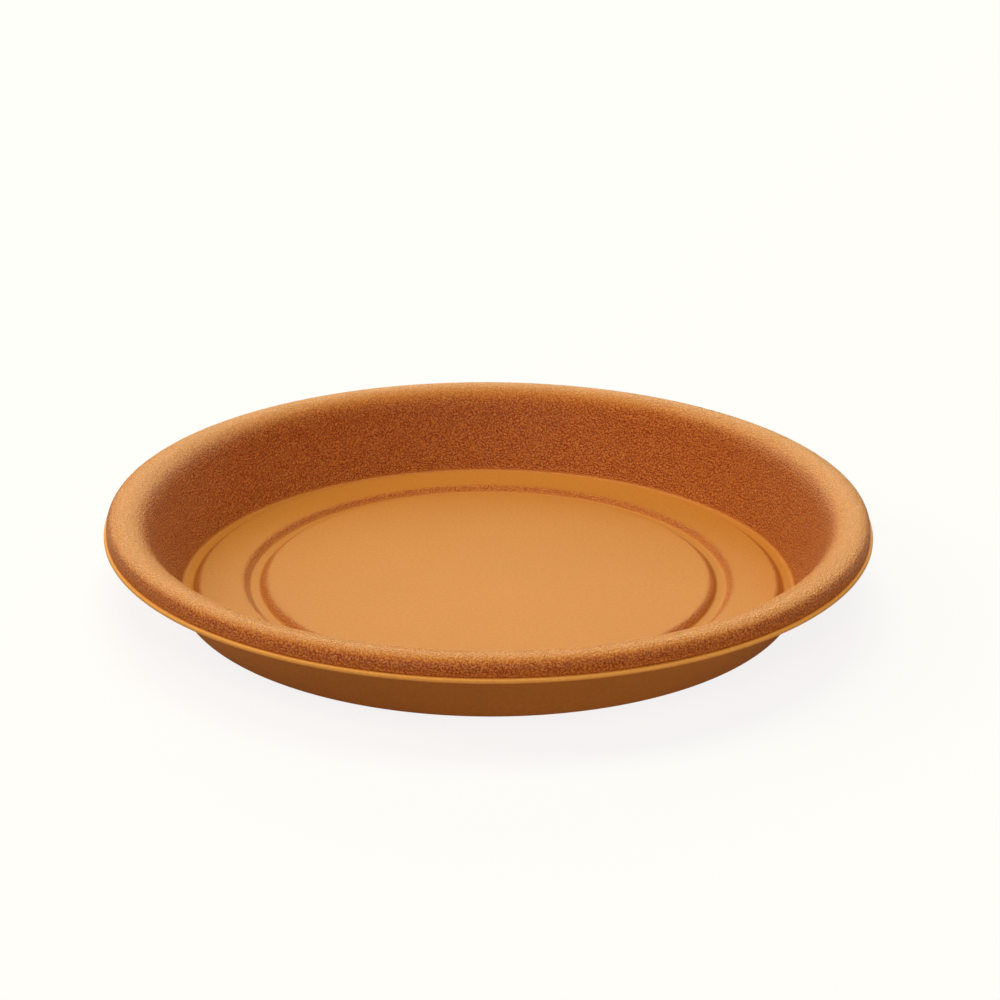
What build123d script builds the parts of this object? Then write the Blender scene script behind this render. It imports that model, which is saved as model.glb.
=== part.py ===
from build123d import *
import math
import os

# A round plant saucer, moulded in one piece from thermoplastic.
# Lengths are in millimetres and angles in degrees. +Z is up.
# The origin is the centre of the base, at the level that the saucer stands on.

# Overall sizes. The rim reaches out beyond the edge of the base all round.
outer_diameter = 300.0
overall_height = 34.4
rim_overhang = 28.1
wall = 1.2

# The wall's outer face is one wide arc, so the wall stands a little steeper towards its top
wall_round = 163.0

# The rim rolls over in three arcs: a wide one from the wall to the crest, a crown that falls away
# beyond the crest, and a tight one that turns down to the outer side.
# A flange stands out at the bottom of the outer side.
inner_round = 11.8
crown_round = 8.3
crown_turn = 27.0
rim_round = 3.4
flange_reach = 1.15
flange_thickness = 1.7
flange_edge_round = 0.55
rim_depth = 8.3

# Floor: a raised disc, a groove round it, a raised ring and a channel at the wall's foot.
# Each step between them is an S in section: a shoulder that turns over, and a hollow at its foot.
# The disc has what the rest leaves of the base, so the widths are given from it outwards.
floor_step = 2.6
disc_edge_run = 5.0
groove_width = 2.4
ring_inner_run = 4.9
ring_flat_width = 13.9
ring_outer_run = 5.0
ring_to_base_edge = 4.7
foot_fillet = 2.0
base_edge_round = 0.8

# The part of a step that its shoulder takes up. The hollow has the rest.
outer_shoulder_share = 0.7
inner_shoulder_share = 0.5

# The groove and the channel reach down to the level that the saucer stands on.
# The disc and the ring are lifted off it by one step, above and below.
low_top = wall
high_top = wall + floor_step

# Radii of the base and the floor's rings, from the edge of the base inwards
outer_radius = outer_diameter / 2
base_radius = outer_radius - rim_overhang
ring_outer_foot_radius = base_radius - ring_to_base_edge
ring_flat_outer_radius = ring_outer_foot_radius - ring_outer_run
ring_flat_inner_radius = ring_flat_outer_radius - ring_flat_width
ring_inner_foot_radius = ring_flat_inner_radius - ring_inner_run
disc_foot_radius = ring_inner_foot_radius - groove_width
disc_flat_radius = disc_foot_radius - disc_edge_run

# Radii and heights of the rim
roll_side_radius = outer_radius - flange_reach
skirt_inner_radius = roll_side_radius - wall
roll_centre_height = overall_height - inner_round
flange_under = overall_height - rim_depth
flange_top = flange_under + flange_thickness

# The crown's centre is below the crest. The tight arc touches the crown where the crown ends, so
# its centre is the difference of their radii away from the crown's, in the direction of that end.
crown_out = math.sin(math.radians(crown_turn))
crown_up = math.cos(math.radians(crown_turn))
down_the_crown = (crown_up, -crown_out)
round_difference = crown_round - rim_round
crest_radius = roll_side_radius - rim_round - round_difference * crown_out
crown_centre_height = overall_height - crown_round
roll_side_height = crown_centre_height + round_difference * crown_up

# The wall's outer face starts at the edge of the base and touches the underside of the wide arc.
# So its centre is one radius from that edge, and both radii from the wide arc's centre.
centres_apart = wall_round + inner_round - wall
roll_run = crest_radius - base_radius
roll_reach = math.hypot(roll_run, roll_centre_height)
roll_bearing = math.atan2(roll_centre_height, roll_run)
opening = (wall_round**2 + roll_reach**2 - centres_apart**2) / (2 * wall_round * roll_reach)
foot_bearing = roll_bearing + math.acos(opening)
wall_centre = base_radius + wall_round * math.cos(foot_bearing)
wall_centre_height = wall_round * math.sin(foot_bearing)

# The direction from the wide arc's centre to the wall's centre
top_out = (wall_centre - crest_radius) / centres_apart
top_up = (wall_centre_height - roll_centre_height) / centres_apart
down_the_wall = (-top_up, top_out)

# The wall's inner face has the same centre, and meets the channel in a corner that is filleted
foot_radius = wall_centre + math.sqrt((wall_round - wall) ** 2 - (wall_centre_height - low_top) ** 2)
foot_corner = (foot_radius, low_top)
base_corner = (base_radius, 0)


def wall_end(radius):
    """Where the roll's inner arc of this radius, centred like the wide arc, meets the wall."""
    return (crest_radius + radius * top_out, roll_centre_height + radius * top_up)


def crown_end(radius):
    """Where an arc of this radius, centred like the crown, meets the tight arc."""
    return (crest_radius + radius * crown_out, crown_centre_height + radius * crown_up)


def step(flat_end, foot, shoulder_share, depth):
    """One step of the floor, from the end of a raised flat to the foot, at a depth under the top."""
    run = foot - flat_end
    side = math.copysign(1, run)
    slope = 2 * math.atan(floor_step / run)
    r = flat_end + shoulder_share * run - depth * math.sin(slope)
    z = high_top - shoulder_share * floor_step - depth * math.cos(slope)
    return [
        TangentArc((flat_end, high_top - depth), (r, z), tangent=(side, 0)),
        TangentArc((foot, low_top - depth), (r, z), tangent=(-side, 0)),
    ]


def floor_face(depth):
    """A face of the floor at a depth under the top, from the axis to the start of the channel."""
    high = high_top - depth
    low = low_top - depth
    disc_step = step(disc_flat_radius, disc_foot_radius, outer_shoulder_share, depth)
    inner_step = step(ring_flat_inner_radius, ring_inner_foot_radius, inner_shoulder_share, depth)
    outer_step = step(ring_flat_outer_radius, ring_outer_foot_radius, outer_shoulder_share, depth)
    flats = [
        Line((0, high), (disc_flat_radius, high)),
        Line((disc_foot_radius, low), (ring_inner_foot_radius, low)),
        Line((ring_flat_inner_radius, high), (ring_flat_outer_radius, high)),
    ]
    return flats + disc_step + inner_step + outer_step


def wall_and_roll():
    """The channel, the wall's inner face and the roll, down to the start of its straight side."""
    crest = (crest_radius, overall_height)
    wall_top = wall_end(inner_round)
    shoulder = crown_end(crown_round)
    return [
        Line((ring_outer_foot_radius, low_top), foot_corner),
        TangentArc(wall_top, foot_corner, tangent=down_the_wall),
        TangentArc(crest, wall_top, tangent=(-1, 0)),
        TangentArc(crest, shoulder, tangent=(1, 0)),
        TangentArc(shoulder, (roll_side_radius, roll_side_height), tangent=down_the_crown),
    ]


def flange():
    """The straight side of the roll, the flange and the inner face of the roll's skirt."""
    return [
        FilletPolyline(
            (roll_side_radius, roll_side_height),
            (roll_side_radius, flange_top),
            (outer_radius, flange_top),
            (outer_radius, flange_under),
            (skirt_inner_radius, flange_under),
            (skirt_inner_radius, roll_side_height),
            radius=[0, flange_edge_round, flange_edge_round, 0],
        )
    ]


def underside():
    """The inside of the roll, the wall's outer face and the face that the saucer stands on."""
    crest_under = (crest_radius, overall_height - wall)
    wall_top = wall_end(inner_round - wall)
    shoulder = crown_end(crown_round - wall)
    return [
        TangentArc(shoulder, (skirt_inner_radius, roll_side_height), tangent=down_the_crown),
        TangentArc(crest_under, shoulder, tangent=(1, 0)),
        TangentArc(crest_under, wall_top, tangent=(-1, 0)),
        TangentArc(wall_top, base_corner, tangent=down_the_wall),
        Line(base_corner, (ring_outer_foot_radius, 0)),
    ]


def rounded(section, corner, radius):
    """The section with the corner nearest to this point rounded."""
    return section.fillet_2d(radius, [section.vertices().sort_by_distance((*corner, 0))[0]])


def saucer():
    """The section from the axis to the flange, turned once round the axis."""
    upper = floor_face(0) + wall_and_roll() + flange()
    lower = underside() + floor_face(wall)
    outline = Curve() + upper + lower + [Line((0, floor_step), (0, high_top))]
    section = make_face(outline).face()
    section = rounded(section, foot_corner, foot_fillet)
    section = rounded(section, base_corner, base_edge_round)
    return revolve(Plane.XZ * section, Axis.Z)


body = saucer()
os.makedirs("parts", exist_ok=True)
export_step(body, "parts/saucer.step")
lean_at_foot = 180 - math.degrees(foot_bearing)
lean_at_top = math.degrees(math.asin(top_up))
print("the wall leans", round(lean_at_foot, 1), "degrees at its foot and", round(lean_at_top, 1), "at its top")
print("volume cm3", round(body.volume / 1000, 2), "valid", body.is_valid)
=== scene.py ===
# %% [markdown]
# # A terracotta-coloured plastic plant saucer
#
# This lesson dresses one small object: a round saucer, 300 mm across, that stands under a plant pot.
# The real one is a single injection moulding in polypropylene. Nothing on it is painted or joined,
# so all of its looks come from three things: the shape of its section, the grain that the mould
# pressed into it, and the way that a dull, slightly waxy plastic answers a soft light from above.
#
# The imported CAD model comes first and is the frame: everything here is in metres, Z up, with the
# origin in the middle of the base.

# %% Load the frame
import math

import bpy
import numpy as np
from mathutils import Matrix, Vector, noise


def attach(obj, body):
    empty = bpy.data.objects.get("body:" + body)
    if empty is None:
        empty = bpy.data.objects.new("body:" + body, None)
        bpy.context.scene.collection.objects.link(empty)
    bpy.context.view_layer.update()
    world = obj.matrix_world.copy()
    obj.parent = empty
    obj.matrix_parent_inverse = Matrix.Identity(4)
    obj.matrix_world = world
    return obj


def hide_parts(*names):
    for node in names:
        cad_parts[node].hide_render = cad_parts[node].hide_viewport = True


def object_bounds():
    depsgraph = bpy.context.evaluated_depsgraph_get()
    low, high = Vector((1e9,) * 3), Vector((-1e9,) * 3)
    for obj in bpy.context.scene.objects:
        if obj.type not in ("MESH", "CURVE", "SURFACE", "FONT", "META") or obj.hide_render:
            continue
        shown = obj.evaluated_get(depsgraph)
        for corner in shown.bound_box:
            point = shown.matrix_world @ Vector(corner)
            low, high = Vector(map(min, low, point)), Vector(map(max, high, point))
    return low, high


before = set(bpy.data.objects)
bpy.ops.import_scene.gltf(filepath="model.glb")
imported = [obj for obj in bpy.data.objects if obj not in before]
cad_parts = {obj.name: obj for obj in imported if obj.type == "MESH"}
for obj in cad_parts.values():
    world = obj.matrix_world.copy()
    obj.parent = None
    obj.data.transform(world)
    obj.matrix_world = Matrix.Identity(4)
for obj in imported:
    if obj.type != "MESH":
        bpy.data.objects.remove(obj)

MM = 0.001

cad_low, cad_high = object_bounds()
cad_size = cad_high - cad_low
print("CAD box in mm:", [round(side / MM, 1) for side in cad_size])

# %% [markdown]
# ## The section
#
# A saucer is a solid of revolution, so one section through it says everything about its form. It
# could be drawn as a curve and spun with a Screw modifier. Here the section is sampled in code,
# because the wall and rim need small, even faces to carry the moulded grain, while the flat floor
# needs few.
#
# The sizes are those of the moulding, in millimetres. The two that span the whole saucer are
# read from the CAD box, so the dressed piece can't drift away from the frame. The diameter is a
# whole number of millimetres, and the facets of the CAD mesh may miss it by a hair, so it is rounded.

# %% Sizes of the moulding
outer_radius = round(cad_size.x / MM) * MM / 2
overall_height = cad_size.z
base_radius = 121.9 * MM
wall = 1.2 * MM
outer_wall_round = 163.0 * MM

inner_round = 11.8 * MM     # the rim's arc from the wall to the crest
crown_round = 8.3 * MM
crown_turn = math.radians(27)
rim_round = 3.4 * MM
flange_reach = 1.15 * MM
flange_thickness = 1.7 * MM
flange_edge_round = 0.55 * MM
rim_depth = 8.3 * MM

floor_step = 2.6 * MM
disc_flat = 86.0 * MM
disc_run = 5.0 * MM
groove_width = 2.4 * MM
inner_run = 4.9 * MM
ring_width = 13.9 * MM
outer_run = 5.0 * MM
outer_share = 0.7           # the part of a step that its shoulder takes up
inner_share = 0.5
foot_fillet = 2.0 * MM
base_edge_round = 0.8 * MM

low_top = wall
high_top = wall + floor_step
roll_side_radius = outer_radius - flange_reach
flange_under = overall_height - rim_depth
flange_top = flange_under + flange_thickness
round_difference = crown_round - rim_round
crest_radius = roll_side_radius - rim_round - round_difference * math.sin(crown_turn)
roll_side_height = overall_height - crown_round + round_difference * math.cos(crown_turn)
print("crest at radius", round(crest_radius / MM, 1), "mm, flange from", round(flange_under / MM, 1),
      "to", round(flange_top / MM, 1), "mm up")

# %% [markdown]
# The wall is one wide arc that stands a little steeper towards its top, and the rim is another arc
# that rolls over from it. Their centres lie on opposite sides of the plastic, so the two arcs touch
# when the centres are both radii apart. With one radius from the wall's centre to the edge of the
# base, that makes a triangle of known sides, and the law of cosines gives the wall's centre.

# %% Arcs of the wall and the rim
roll_centre_z = overall_height - inner_round
roll_run = crest_radius - base_radius
reach = math.hypot(roll_run, roll_centre_z)
apart = outer_wall_round + inner_round - wall
cosine = (outer_wall_round ** 2 + reach ** 2 - apart ** 2) / (2 * outer_wall_round * reach)
bearing = math.atan2(roll_centre_z, roll_run) + math.acos(cosine)
wall_centre_r = base_radius + outer_wall_round * math.cos(bearing)
wall_centre_z = outer_wall_round * math.sin(bearing)
wall_round = outer_wall_round - wall
top_lean = math.asin((wall_centre_z - roll_centre_z) / apart)
print("the wall leans", round(180 - math.degrees(bearing), 1), "degrees at its foot and",
      round(math.degrees(top_lean), 1), "at its top")

# %% [markdown]
# A face of the section is walked as a road of straights and bends, from the axis outwards: ahead is
# outwards at first, a bend to the left climbs and a bend to the right falls. Long straights get a
# point close to each end, so that the shading of the bends doesn't bleed over the flats.

# %% Walk a road of straights and bends
def ahead(heading):
    """The direction of a heading, as (outwards, up)."""
    return np.array([math.cos(heading), math.sin(heading)])


def left_of(heading):
    """The direction to the left of a heading."""
    return np.array([-math.sin(heading), math.cos(heading)])


def road(start, heading, moves, spacing, support):
    """Points along moves of (length, None) for a straight or (radius, turn) for a bend."""
    place = np.array(start, float)
    points = [place]
    for size, turn in moves:
        if turn is None:
            ends = [support, size - support] if size > 3 * support else []
            points += [place + ahead(heading) * step for step in ends + [size]]
        else:
            side = math.copysign(size, turn)
            centre = place + left_of(heading) * side
            count = max(2, math.ceil(size * abs(turn) / spacing))
            for step in range(1, count + 1):
                points.append(centre - left_of(heading + turn * step / count) * side)
            heading += turn
        place = points[-1]
    return np.array(points)


# %% [markdown]
# Each step of the floor is two bends, a shoulder and a hollow, that meet part of the way down. At the
# wall's foot a small bend touches the channel below and the wall's wide arc beside it, so its centre
# is one radius above the channel and one radius inside the arc.

# %% Bends of the floor and the wall's foot
def step_down(run, share):
    """The shoulder and the hollow of a step that falls by floor_step within run."""
    slope = 2 * math.atan(floor_step / run)
    whole = (run * run + floor_step * floor_step) / (2 * floor_step)
    return [(whole * share, -slope), (whole * (1 - share), slope)]


def step_up(run, share):
    """The same two bends, walked from the foot."""
    return step_down(run, share)[::-1]


def foot_bend(radius, arc, level):
    """The centre's radius and the turn of a bend from a level up to the wall's arc."""
    centre_drop = wall_centre_z - level - radius
    centre_r = wall_centre_r + math.sqrt((arc - radius) ** 2 - centre_drop ** 2)
    return centre_r, math.pi / 2 - math.asin(centre_drop / (arc - radius))


ring_foot = disc_flat + disc_run + groove_width + inner_run + ring_width + outer_run
floor_moves = [(disc_flat, None)] + step_down(disc_run, outer_share) + [(groove_width, None)]
floor_moves += step_up(inner_run, inner_share) + [(ring_width, None)]
floor_moves += step_down(outer_run, outer_share)
roll_moves = [(inner_round, top_lean - math.pi / 2), (crown_round, -crown_turn),
              (rim_round, crown_turn - math.pi / 2)]
print("the floor's last step ends at radius", round(ring_foot / MM, 1), "mm")

# %% [markdown]
# Now the upper face can be laid out: the floor first, and then the wall and the rim, which get their
# own list because the grain is pressed into them alone. The end of the road is printed beside the
# height that it should reach, which shows at once whether all the bends meet.

# %% Lay out the upper face
floor_spacing = 0.8 * MM
grain_spacing = 0.88 * MM
support_gap = 0.4 * MM

foot_r, foot_turn = foot_bend(foot_fillet, wall_round, low_top)
upper_floor = floor_moves + [(foot_r - ring_foot, None)]
upper_wall = [(foot_fillet, foot_turn), (wall_round, math.pi / 2 - top_lean - foot_turn)]
upper_wall += roll_moves + [(roll_side_height - flange_top, None)]
floor_points = road((0, high_top), 0, upper_floor, floor_spacing, support_gap)
wall_points = road(floor_points[-1], 0, upper_wall, grain_spacing, support_gap)
print("points: floor", len(floor_points), "wall and rim", len(wall_points))
print("roll ends at", (wall_points[-1] / MM).round(2), "mm, for a flange top of",
      round(flange_top / MM, 2))

# %% [markdown]
# The flange is a narrow lip with softened edges, drawn as short straights with bends between them.
# After it comes the underside. It is the same road one wall's thickness to the right, where a bend
# to the left is wider by the wall and a bend to the right is tighter by it. Only the edge of the
# base has a rounding of its own. The bends need fewer points there, because nobody sees grain on
# that side.

# %% Lay out the flange and the underside
inner_corner = 0.15 * MM
lip_spacing = 0.2 * MM
under_spacing = 1.8 * MM

lip_top = flange_reach - inner_corner - flange_edge_round
lip_side = flange_thickness - 2 * flange_edge_round
lip_moves = [(inner_corner, math.pi / 2), (lip_top, None),
             (flange_edge_round, -math.pi / 2), (lip_side, None),
             (flange_edge_round, -math.pi / 2), (lip_top + wall, None),
             (inner_corner, -math.pi / 2)]
lip_start = (roll_side_radius, flange_top + inner_corner)
lip_points = road(lip_start, -math.pi / 2, lip_moves, lip_spacing, lip_spacing)

edge_r, edge_turn = foot_bend(base_edge_round, outer_wall_round, 0)
under_floor = [(size if turn is None else size + math.copysign(wall, turn), turn)
               for size, turn in floor_moves]
under_roll = [(size - wall, turn) for size, turn in roll_moves]
under_moves = under_floor + [(edge_r - ring_foot, None), (base_edge_round, edge_turn)]
under_moves += [(outer_wall_round, math.pi / 2 - top_lean - edge_turn)] + under_roll
under_moves += [(roll_side_height - flange_under - inner_corner - support_gap, None)]
under_points = road((0, floor_step), 0, under_moves, under_spacing, support_gap)[::-1]
print("points: flange", len(lip_points), "underside", len(under_points))

# %% [markdown]
# ## The mesh
#
# The section is spun into rings. The grained stretch gets 960 points round, about 0.9 mm apart, so
# that each pebble of the grain spans two or three faces. Everything else gets a third of that, and
# where the two meet each coarse edge is joined to three fine ones. The whole saucer stays one closed
# skin, as a moulding is.

# %% Rings and the faces between them
plain_count = 320
grain_count = 3 * plain_count


def ring_of(point, count):
    """One ring of vertices at a point of the section."""
    angles = np.arange(count) * 2 * math.pi / count
    east, north = point[0] * np.cos(angles), point[0] * np.sin(angles)
    return np.stack([east, north, np.full(count, point[1])], 1)


def stitch(first, first_count, second, second_count):
    """Faces between two rings, whose counts are equal or 1 to 3, seen from outside the plastic."""
    if first_count == second_count:
        i = np.arange(first_count)
        j = (i + 1) % first_count
        quads = np.stack([first + i, second + i, second + j, first + j], 1)
        return [tuple(quad) for quad in quads.tolist()]
    flip = first_count > second_count
    coarse, fine = (second, first) if flip else (first, second)
    count = min(first_count, second_count)
    faces = []
    for i in range(count):
        near, far = coarse + i, coarse + (i + 1) % count
        f = [fine + (3 * i + k) % (3 * count) for k in range(4)]
        triangles = [(near, f[0], f[1]), (near, f[1], far), (far, f[1], f[2]), (far, f[2], f[3])]
        faces += [corners[::-1] for corners in triangles] if flip else triangles
    return faces


print("points round:", grain_count, "where grained,", plain_count, "elsewhere")

# %% [markdown]
# The four stretches of the road follow one another: out over the floor, up the wall and over the
# rim, round the flange, and back underneath to the middle. A point on the axis above and another
# below close the skin, each with a fan of triangles.

# %% Spin the section into one closed mesh
stretches = ((floor_points[1:], plain_count), (wall_points[1:-1], grain_count),
             (lip_points, plain_count), (under_points[:-1], plain_count))
vertices, rings, total = [np.array([[0, 0, high_top]])], [], 1
for points, count in stretches:
    for point in points:
        rings.append((total, count, point))
        vertices.append(ring_of(point, count))
        total += count
vertices = np.concatenate(vertices + [np.array([[0, 0, floor_step]])])

faces = []
top_ring, low_ring = rings[0][0], rings[-1][0]
for i in range(plain_count):
    j = (i + 1) % plain_count
    faces += [(0, top_ring + i, top_ring + j), (total, low_ring + j, low_ring + i)]
for (start, count, _), (next_start, next_count, _) in zip(rings, rings[1:]):
    faces += stitch(start, count, next_start, next_count)
print("rings", len(rings), "points", len(vertices), "faces", len(faces))

# %% [markdown]
# ## Where the mould was grained
#
# The toolmaker etched the steel where a hand or an eye goes: the wall and the rolled rim, down to
# the flange, and more weakly the slopes of the floor. The flats were only blasted matt. A value
# called `grained`, stored on the points of the mesh, says how deep the etching goes at each place,
# so geometry and material agree about it.

# %% Store the depth of the grain on the points
slope_grain = 0.6
slope_rise = 6          # the grain of a slope is full between its ends, and fades at them
foot_fade = 1.2 * MM
lip_fade = 0.6 * MM

grained = np.zeros(len(vertices), np.float32)
last_floor_start = rings[len(floor_points) - 1][0]
for start, count, point in rings:
    if count == grain_count:
        over_foot = np.clip((point[1] - low_top) / foot_fade, 0, 1)
        over_lip = np.clip((point[1] - flange_top) / lip_fade, 0, 1) if point[0] > crest_radius else 1
        grained[start:start + count] = over_foot * over_lip
    elif start < last_floor_start:
        part_way = (point[1] - low_top) / floor_step
        mid_slope = np.clip(slope_rise * part_way * (1 - part_way), 0, 1)
        grained[start:start + count] = slope_grain * mid_slope
print("share of the points with full grain:", round(float((grained == 1).mean()), 2))

# %% [markdown]
# On the top of the roll the grain is drawn flatter, as rubbing leaves it, and a paler colour is
# painted there as a highlight. The lip of the flange gets more of it, and shows as a pale line of
# painted highlight. A second value is full on the lip's upper edge and half on the crest. It fades out
# two millimetres below the crest outside, and further down inside.

# %% Store where the grain of the crest and the lip is flattened and a highlight is painted
outer_rub_and_highlight_depth = 1.9 * MM
inner_rub_and_highlight_depth = 4.5 * MM
crest_rub_and_highlight = 0.5
early_full = 1.5        # above 1, the rubbing and the painted highlight are full before the very top

# how far the grain is flattened by rubbing, and where a highlight is painted on the crest and lip
rub_and_painted_highlight = np.zeros(len(vertices), np.float32)
for start, count, point in rings:
    if count == grain_count:
        rub_and_highlight_depth = inner_rub_and_highlight_depth if point[0] < crest_radius else outer_rub_and_highlight_depth
        below_crest = overall_height - point[1]
        near_crest = np.clip(early_full * (1 - below_crest / rub_and_highlight_depth), 0, 1)
        rub_and_painted_highlight[start:start + count] = crest_rub_and_highlight * near_crest
    elif point[0] > roll_side_radius + inner_corner:
        up_the_lip = (point[1] - flange_under) / flange_thickness
        rub_and_painted_highlight[start:start + count] = np.clip(early_full * up_the_lip, 0, 1)
print("share of the points that are rubbed:", round(float((rub_and_painted_highlight > 0).mean()), 2))

# %% [markdown]
# The grain itself is a sheet of flattened pebbles about 2.2 mm across with narrow valleys between
# them, pressed a few hundredths of a millimetre deep. That pattern is a Voronoi diagram: the
# difference between the distances to the nearest and the next cell centre is nothing in a valley
# and grows towards the middle of a pebble. Shaking the points first by a slow noise makes the
# pebbles irregular. Blender starts this noise at a place that it draws from the clock, so a seed is
# set first, and the grain is the same in each run.
#
# The valleys are real geometry here, moved inwards along the section's normal, so that the rim
# breaks the light as the moulding does. The finer crumbs are left to the material's bump.

# %% Press the grain into the points
grain_seed = 1
grain_cell = 2.2 * MM
grain_depth = 0.06 * MM
shake = 0.8 * MM
shake_size = 1.5 * grain_cell
pebble_slope_share = 0.5    # the part of a cell over which a pebble rises from its valley


def pebble_height(place):
    """0 in a valley of the grain, 1 on the top of a pebble, and a smooth rise between them."""
    moved_place = Vector(place) + shake * noise.noise_vector(Vector(place) / shake_size)
    distances = noise.voronoi(moved_place / grain_cell)[0]
    share = min(max((distances[1] - distances[0]) / pebble_slope_share, 0), 1)
    return share * share * (3 - 2 * share)


noise.seed_set(grain_seed)
deepest = 0
for index, (start, count, point) in enumerate(rings):
    if grained[start] > 0 and count == grain_count:
        before, after = rings[index - 1][2], rings[index + 1][2]
        along = (after - before) / np.linalg.norm(after - before)
        angles = np.arange(count) * 2 * math.pi / count
        heights = np.array([pebble_height(place) for place in vertices[start:start + count]])
        sunk = grain_depth * grained[start] * (1 - heights)
        vertices[start:start + count, 0] += sunk * along[1] * np.cos(angles)
        vertices[start:start + count, 1] += sunk * along[1] * np.sin(angles)
        vertices[start:start + count, 2] -= sunk * along[0]
        deepest = max(deepest, float(sunk.max()))
print("deepest valley:", round(deepest / MM, 3), "mm")

# %% [markdown]
# The points and faces become one mesh. It is shaded smooth, because a moulding has no facets, and it
# carries the two stored values as attributes, which a material can read by name. The saucer rides
# on the one body of the frame and takes the place of its plain node.

# %% Make the saucer
mesh = bpy.data.meshes.new("saucer_moulding")
mesh.from_pydata(vertices.tolist(), [], faces)
mesh.shade_smooth()
mesh.validate()
for name, values in (("grained", grained), ("rub_and_painted_highlight", rub_and_painted_highlight)):
    mesh.attributes.new(name, "FLOAT", "POINT").data.foreach_set("value", values)
saucer = bpy.data.objects.new("saucer_moulding", mesh)
bpy.context.scene.collection.objects.link(saucer)
mesh.calc_loop_triangles()
print("vertices", len(mesh.vertices), "triangles", len(mesh.loop_triangles))

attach(saucer, "root")
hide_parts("saucer")

# %% [markdown]
# ## The plastic
#
# Three small helpers come first. Colours are written as the sRGB values that a paint program shows,
# and Blender calculates in linear light, so one function turns one into the other. Another adds a
# node, sets it and links it, so that each material below reads as a list of what it is made of. The
# third clears away the nodes that a new material or world starts with.

# %% Helpers for materials
def srgb(code):
    """The linear colour of an sRGB hex value, with an alpha of 1."""
    channels = [int(code[i:i + 2], 16) / 255 for i in (1, 3, 5)]
    linear = [c / 12.92 if c <= 0.04045 else ((c + 0.055) / 1.055) ** 2.4 for c in channels]
    return (*linear, 1.0)


def add(tree, kind, settings=None, links=None, values=None):
    """Adds a node, sets its properties and input values, and links inputs to other nodes' outputs."""
    node = tree.nodes.new(kind)
    for name, value in (settings or {}).items():
        setattr(node, name, value)
    for name, value in (values or {}).items():
        node.inputs[name].default_value = value
    for name, (source, output) in (links or {}).items():
        tree.links.new(source.outputs[output], node.inputs[name])
    return node


def empty_tree(owner):
    """The emptied node tree of a material or a world."""
    owner.use_nodes = True
    owner.node_tree.nodes.clear()
    return owner.node_tree


print("the middle grey #808080 is", round(srgb("#808080")[0], 3), "in linear light")

# %% [markdown]
# The real saucer is polypropylene, coloured with a terracotta pigment before it was moulded. It is
# opaque all through, with a soft, waxy gloss that the mould's surface breaks up. A photo of grain
# could be wrapped over it, but an image stretches on a round form, so the grain is calculated from
# the saucer's own coordinates instead and has the same size everywhere.
#
# The two values stored on the points say where the grain lies, and where rubbing flattens it and a
# highlight is painted. So `zone` is the depth of the etching less what the rubbing has taken away.

# %% Start the moulded polypropylene
plastic = bpy.data.materials.new("moulded_polypropylene")
tree = empty_tree(plastic)
place = add(tree, "ShaderNodeTexCoord")
etched = add(tree, "ShaderNodeAttribute", {"attribute_name": "grained"})
# where the grain is flattened by rubbing and a paler highlight is painted
worn_and_painted_highlight = add(tree, "ShaderNodeAttribute", {"attribute_name": "rub_and_painted_highlight"})
unworn = add(tree, "ShaderNodeMath", {"operation": "SUBTRACT"}, {1: (worn_and_painted_highlight, "Fac")}, {0: 1.0})
zone = add(tree, "ShaderNodeMath", {"operation": "MULTIPLY"}, {0: (etched, "Fac"), 1: (unworn, 0)})
print("started", plastic.name)

# %% [markdown]
# The etched grain is pebbles with valleys between them, as in the mesh but smaller, and crumbs on
# top of the pebbles. A noise shakes the points of the Voronoi pattern, so that no cell is regular.
#
# From where the camera stands, a pixel covers about 0.4 mm. The real crumbs are finer than that, so
# they are drawn 0.7 mm across. The relief is drawn several times deeper than the tenth of a
# millimetre of a real grain, because each pixel evens it out. A bump only turns the light, so the
# outline stays as it is.

# %% Leather grain
pebble_cell = 1.3 * MM
pebble_shake = 0.8 * MM
shakes_per_pebble = 0.6
crumb_size = 0.7 * MM
flat_from_share = 0.32      # how far from a valley, in cells, a pebble is flat on top
pebble_rise = 0.8           # the height of its top
crumb_rise = 3.0

wander = add(tree, "ShaderNodeTexNoise", None, {"Vector": (place, "Object")},
             {"Scale": shakes_per_pebble / pebble_cell, "Detail": 2.0})
shaken = add(tree, "ShaderNodeVectorMath", {"operation": "MULTIPLY_ADD"},
             {0: (wander, "Color"), 2: (place, "Object")}, {1: (pebble_shake,) * 3})
pebbles = add(tree, "ShaderNodeTexVoronoi", {"feature": "DISTANCE_TO_EDGE"}, {"Vector": (shaken, 0)},
              {"Scale": 1 / pebble_cell})
pebble_tops = add(tree, "ShaderNodeMapRange", {"interpolation_type": "SMOOTHSTEP"},
                  {"Value": (pebbles, "Distance")}, {"From Max": flat_from_share, "To Max": pebble_rise})
crumbs = add(tree, "ShaderNodeTexNoise", None, {"Vector": (place, "Object")},
             {"Scale": 1 / crumb_size, "Detail": 3.0})
leather = add(tree, "ShaderNodeMath", {"operation": "MULTIPLY_ADD"},
              {0: (crumbs, "Fac"), 2: (pebble_tops, "Result")}, {1: crumb_rise})
print("pebbles of", round(pebble_cell / MM, 1), "mm, with crumbs of", round(crumb_size / MM, 1), "mm")

# %% [markdown]
# The flats come from steel that was blasted with fine grit, which leaves an even matt surface. Its
# real grit marks are far too fine to show, so they are drawn as a low noise of 1.3 mm. `zone` then
# chooses between the two reliefs, so the grain fades out at the foot of the wall and no seam shows.

# %% Blasted flats, and one relief for all
matt_size = 1.3 * MM
matt_rise = 0.3
relief_depth = 0.6 * MM

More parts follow.
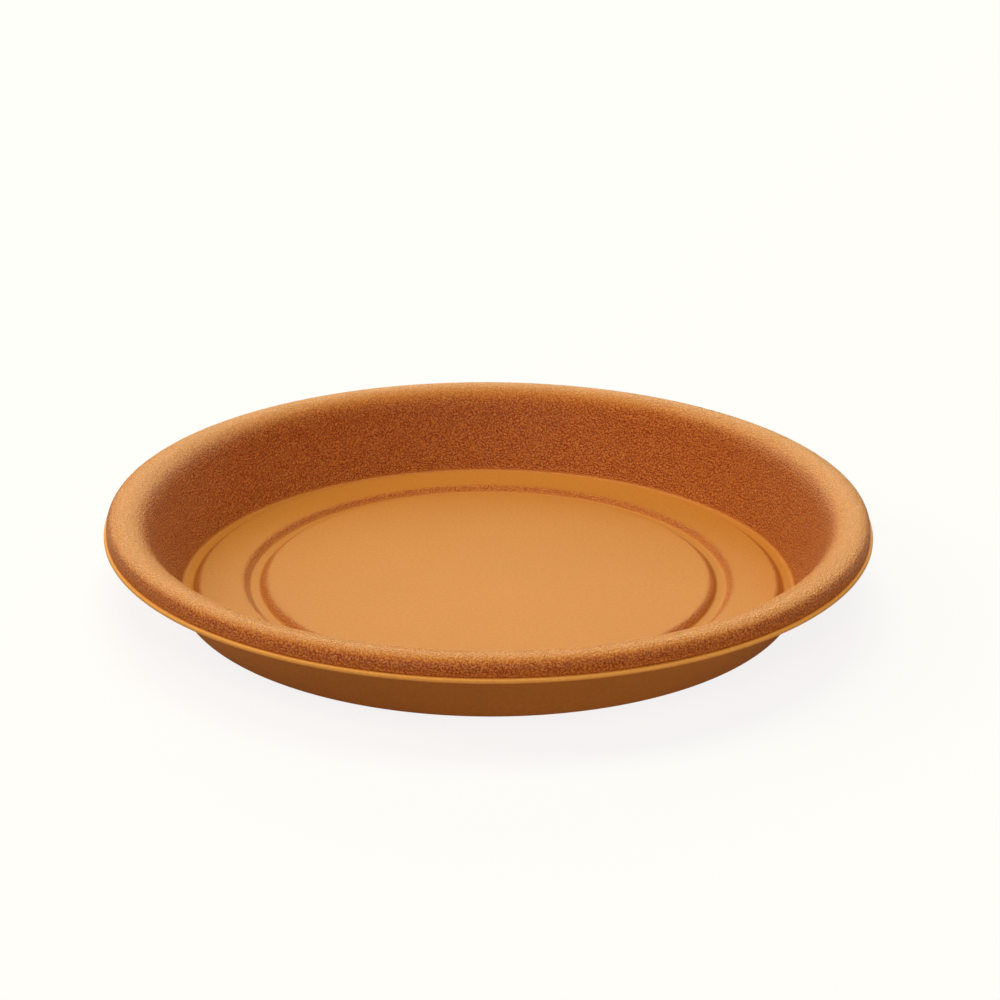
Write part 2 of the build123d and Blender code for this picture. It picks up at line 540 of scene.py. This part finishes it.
matt = add(tree, "ShaderNodeTexNoise", None, {"Vector": (place, "Object")},
           {"Scale": 1 / matt_size, "Detail": 3.0})
low_matt = add(tree, "ShaderNodeMath", {"operation": "MULTIPLY"}, {0: (matt, "Fac")}, {1: matt_rise})
relief = add(tree, "ShaderNodeMix", {"data_type": "FLOAT"},
             {0: (zone, 0), 2: (low_matt, 0), 3: (leather, 0)})
bump = add(tree, "ShaderNodeBump", None, {"Height": (relief, 0)},
           {"Strength": 1.0, "Distance": relief_depth})
print("matt noise of", round(matt_size / MM, 1), "mm, relief of", round(relief_depth / MM, 1), "mm")

# %% [markdown]
# The pigment is never mixed quite evenly, so the strength of the colour drifts by a few hundredths
# over a hand's width. A fine mottle, of the size of the matt noise, keeps the flats from looking
# like paint. Both are factors on either side of 1 that scale the colour in the end.

# %% Drift and mottle of the pigment
flow_size = 60 * MM
drift_share = 0.04
mottle_share = 0.06
noise_low, noise_high = 0.3, 0.7    # nearly all of a noise lies between these

flow = add(tree, "ShaderNodeTexNoise", None, {"Vector": (place, "Object")},
           {"Scale": 1 / flow_size, "Detail": 3.0})
drift = add(tree, "ShaderNodeMapRange", None, {"Value": (flow, "Fac")},
            {"To Min": 1 - drift_share, "To Max": 1 + drift_share})
mottle = add(tree, "ShaderNodeMapRange", None, {"Value": (matt, "Fac")},
             {"From Min": noise_low, "From Max": noise_high,
              "To Min": 1 - mottle_share, "To Max": 1 + mottle_share})
strength = add(tree, "ShaderNodeMath", {"operation": "MULTIPLY"},
               {0: (drift, "Result"), 1: (mottle, "Result")})
print("the colour drifts by", drift_share, "and is mottled by", mottle_share)

# %% [markdown]
# The plastic has one pigment, and the other colours here are painted light and shade. The grain
# shades itself, so painted light makes the colour under it a little brighter than that of the flats.
# In its deepest pits the light is weaker than a bump can show, so a deeper colour there is painted
# shade. On the crest and the lip a paler colour is a painted highlight.

# %% Colour of the polypropylene, with painted light and shade
flat_terracotta = srgb("#ce822e")
# painted light: a brighter colour for the grained stretch
grain_painted_light_terracotta = srgb("#e58738")
# painted shade: a deeper colour for the grain's pits
pit_painted_shade = srgb("#b34c13")
# painted highlight: a paler colour for the crest and the lip
painted_highlight_terracotta = srgb("#efad55")
pit_full, pit_none = 1.3, 2.1       # heights of the grain at which the pits' painted shade is full and gone

# painted shade, strongest in the grain's deepest pits
pit_shade_mask = add(tree, "ShaderNodeMapRange", {"interpolation_type": "SMOOTHSTEP"}, {"Value": (leather, 0)},
          {"From Min": pit_full, "From Max": pit_none, "To Min": 1.0, "To Max": 0.0})
shaded = add(tree, "ShaderNodeMath", {"operation": "MULTIPLY"}, {0: (pit_shade_mask, "Result"), 1: (zone, 0)})
# painted light: the grained stretch is given a brighter colour than the flats
cast_with_painted_light = add(tree, "ShaderNodeMix", {"data_type": "RGBA"}, {0: (etched, "Fac")},
           {6: flat_terracotta, 7: grain_painted_light_terracotta})
# painted highlight on the crest and the lip's upper edge
skin_with_painted_highlight = add(tree, "ShaderNodeMix", {"data_type": "RGBA"}, {0: (worn_and_painted_highlight, "Fac"), 6: (cast_with_painted_light, 2)},
           {7: painted_highlight_terracotta})
# painted shade in the grain's pits
pigment_with_painted_light_and_shade = add(tree, "ShaderNodeMix", {"data_type": "RGBA"}, {0: (shaded, 0), 6: (skin_with_painted_highlight, 2)},
              {7: pit_painted_shade})
colour = add(tree, "ShaderNodeVectorMath", {"operation": "SCALE"}, {0: (pigment_with_painted_light_and_shade, 2), 3: (strength, 0)})
print("linear colour of the flats:", [round(channel, 3) for channel in flat_terracotta[:3]])

# %% [markdown]
# Polypropylene has an index of refraction of 1.49. The blasted flats are matt. The etched grain is
# a little glossier, and its small facets give the rim its sparks of light.

# %% Finish the polypropylene
matt_roughness = 0.50
grain_roughness = 0.30

gloss = add(tree, "ShaderNodeMapRange", None, {"Value": (etched, "Fac")},
            {"To Min": matt_roughness, "To Max": grain_roughness})
surface = add(tree, "ShaderNodeBsdfPrincipled", None,
              {"Base Color": (colour, 0), "Roughness": (gloss, "Result"), "Normal": (bump, "Normal")},
              {"IOR": 1.49})
add(tree, "ShaderNodeOutputMaterial", None, {"Surface": (surface, "BSDF")})
mesh.materials.append(plastic)
print(plastic.name, "has", len(tree.nodes), "nodes")

# %% [markdown]
# ## The studio
#
# The saucer stands on a sweep of white paper. For the camera the paper is lifted most of the way to
# plain white and keeps only a soft shadow under the saucer. For the light it is a pale grey that
# throws some light up under the rim, with a weak, warm glow. The glow stands in for a wide, bright
# room, whose light comes back from its walls and keeps the overhanging outer wall even.

# %% Paper sweep
floor_half = 2.2
glow_strength = 0.13
lifted_share = 0.85

corners = [(-floor_half, -floor_half, 0), (floor_half, -floor_half, 0),
           (floor_half, floor_half, 0), (-floor_half, floor_half, 0)]
floor_mesh = bpy.data.meshes.new("floor")
floor_mesh.from_pydata(corners, [], [(0, 1, 2, 3)])
floor = bpy.data.objects.new("floor", floor_mesh)
bpy.context.scene.collection.objects.link(floor)

paper = bpy.data.materials.new("white_paper_sweep")
tree = empty_tree(paper)
rays = add(tree, "ShaderNodeLightPath")
bounce = add(tree, "ShaderNodeBsdfDiffuse", None, None, {"Color": srgb("#a8a8a8")})
glow = add(tree, "ShaderNodeEmission", None, None,
           {"Color": srgb("#ffd8bc"), "Strength": glow_strength})
lighting = add(tree, "ShaderNodeAddShader", None, {0: (bounce, 0), 1: (glow, 0)})
shown = add(tree, "ShaderNodeBsdfDiffuse", None, None, {"Color": srgb("#ffffff")})
white = add(tree, "ShaderNodeEmission", None, None, {"Color": srgb("#ffffff"), "Strength": 1.0})
lifted = add(tree, "ShaderNodeMixShader", None, {1: (shown, 0), 2: (white, 0)}, {"Fac": lifted_share})
chosen = add(tree, "ShaderNodeMixShader", None,
             {"Fac": (rays, "Is Camera Ray"), 1: (lighting, 0), 2: (lifted, 0)})
add(tree, "ShaderNodeOutputMaterial", None, {"Surface": (chosen, 0)})
floor_mesh.materials.append(paper)
print("paper is", 2 * floor_half, "m square, and", lifted_share, "of what the camera sees is white")

# %% [markdown]
# The room gives a weak, even light from all round. Straight to the camera it is plain white.

# %% Room
room_strength = 0.04

world = bpy.data.worlds.new("studio")
bpy.context.scene.world = world
tree = empty_tree(world)
rays = add(tree, "ShaderNodeLightPath")
room = add(tree, "ShaderNodeBackground", None, None,
           {"Color": srgb("#ffffff"), "Strength": room_strength})
backdrop = add(tree, "ShaderNodeBackground", None, None, {"Color": srgb("#ffffff"), "Strength": 1.0})
chosen = add(tree, "ShaderNodeMixShader", None,
             {"Fac": (rays, "Is Camera Ray"), 1: (room, 0), 2: (backdrop, 0)})
add(tree, "ShaderNodeOutputWorld", None, {"Surface": (chosen, 0)})
print("room light", room_strength, "of white")

# %% [markdown]
# Five softboxes light the saucer. The one overhead lights the floor and the crest. The others stand
# lower and reach the steep faces: one at the left, a strip behind that gives the rim its bright
# edge, one in front for the far wall's inner face, and a weak fill for the outer wall. Their slight
# tints were found by matching the render's tones to the photo's. All stand three metres away, ten
# times the width of the saucer, so its front and back are lit about alike.

# %% Lamps
lamp_distance = 3.0


def softbox(name, bearing, height, width, depth, watts, code):
    """A rectangular lamp that faces the saucer: bearing from +X and height in degrees."""
    lamp = bpy.data.lights.new(name, "AREA")
    lamp.shape = "RECTANGLE"
    lamp.size, lamp.size_y, lamp.energy = width, depth, watts
    lamp.color = srgb(code)[:3]
    holder = bpy.data.objects.new(name, lamp)
    level, up_by = math.radians(bearing), math.radians(height)
    east, north = math.cos(level) * math.cos(up_by), math.sin(level) * math.cos(up_by)
    spot = Vector((east, north, math.sin(up_by)))
    holder.location = spot * lamp_distance
    holder.rotation_mode = "QUATERNION"
    holder.rotation_quaternion = (-spot).to_track_quat("-Z", "Y")
    bpy.context.scene.collection.objects.link(holder)
    print(name, "at", [round(value, 2) for value in holder.location], "m,", watts, "W")


softbox("overhead_softbox", bearing=104, height=72, width=2.4, depth=1.5, watts=42, code="#f6ffcc")
softbox("left_softbox", bearing=175, height=32, width=1.5, depth=1.9, watts=42, code="#ffe8c8")
softbox("back_strip", bearing=90, height=18, width=3.4, depth=1.4, watts=46, code="#fff2c4")
softbox("front_softbox", bearing=275, height=46, width=1.4, depth=1.4, watts=35, code="#ffe6c8")
softbox("front_fill", bearing=310, height=16, width=3.0, depth=1.5, watts=14, code="#ffe6c8")

# %% [markdown]
# ## The camera
#
# The photo was taken from 23 degrees above the table with a long lens, a little under one metre
# away. Those numbers come from fitting a camera to the rim, the rings of the floor and the outline.
# First the camera is set to look at the middle of the base. Then three small turns move it a touch
# off the middle, as the photo's frame is.

# %% Camera
focal_px = 2492.84
frame_px = 1000
radii_away = 6.6152
elevation = 0.4053          # this angle and the small turns are in radians
yaw = -0.0045
pitch = 0.0323
twist = 0.0044

distance = radii_away * outer_radius
eye = Vector((0, -distance * math.cos(elevation), distance * math.sin(elevation)))
look = -eye.normalized()
right = Vector((1, 0, 0))
aimed = Matrix((right, right.cross(look), -look))
for angle, axis in ((yaw, "Y"), (pitch, "X"), (twist, "Z")):
    aimed = Matrix.Rotation(-angle, 3, axis) @ aimed

camera_data = bpy.data.cameras.new("camera")
camera_data.sensor_width = 36.0
camera_data.lens = focal_px / frame_px * camera_data.sensor_width
camera = bpy.data.objects.new("camera", camera_data)
camera.matrix_world = Matrix.Translation(eye) @ aimed.transposed().to_4x4()
bpy.context.scene.collection.objects.link(camera)
bpy.context.scene.camera = camera
bpy.context.scene.view_settings.view_transform = "Standard"
print("lens", round(camera_data.lens, 1), "mm at", round(distance, 3), "m")
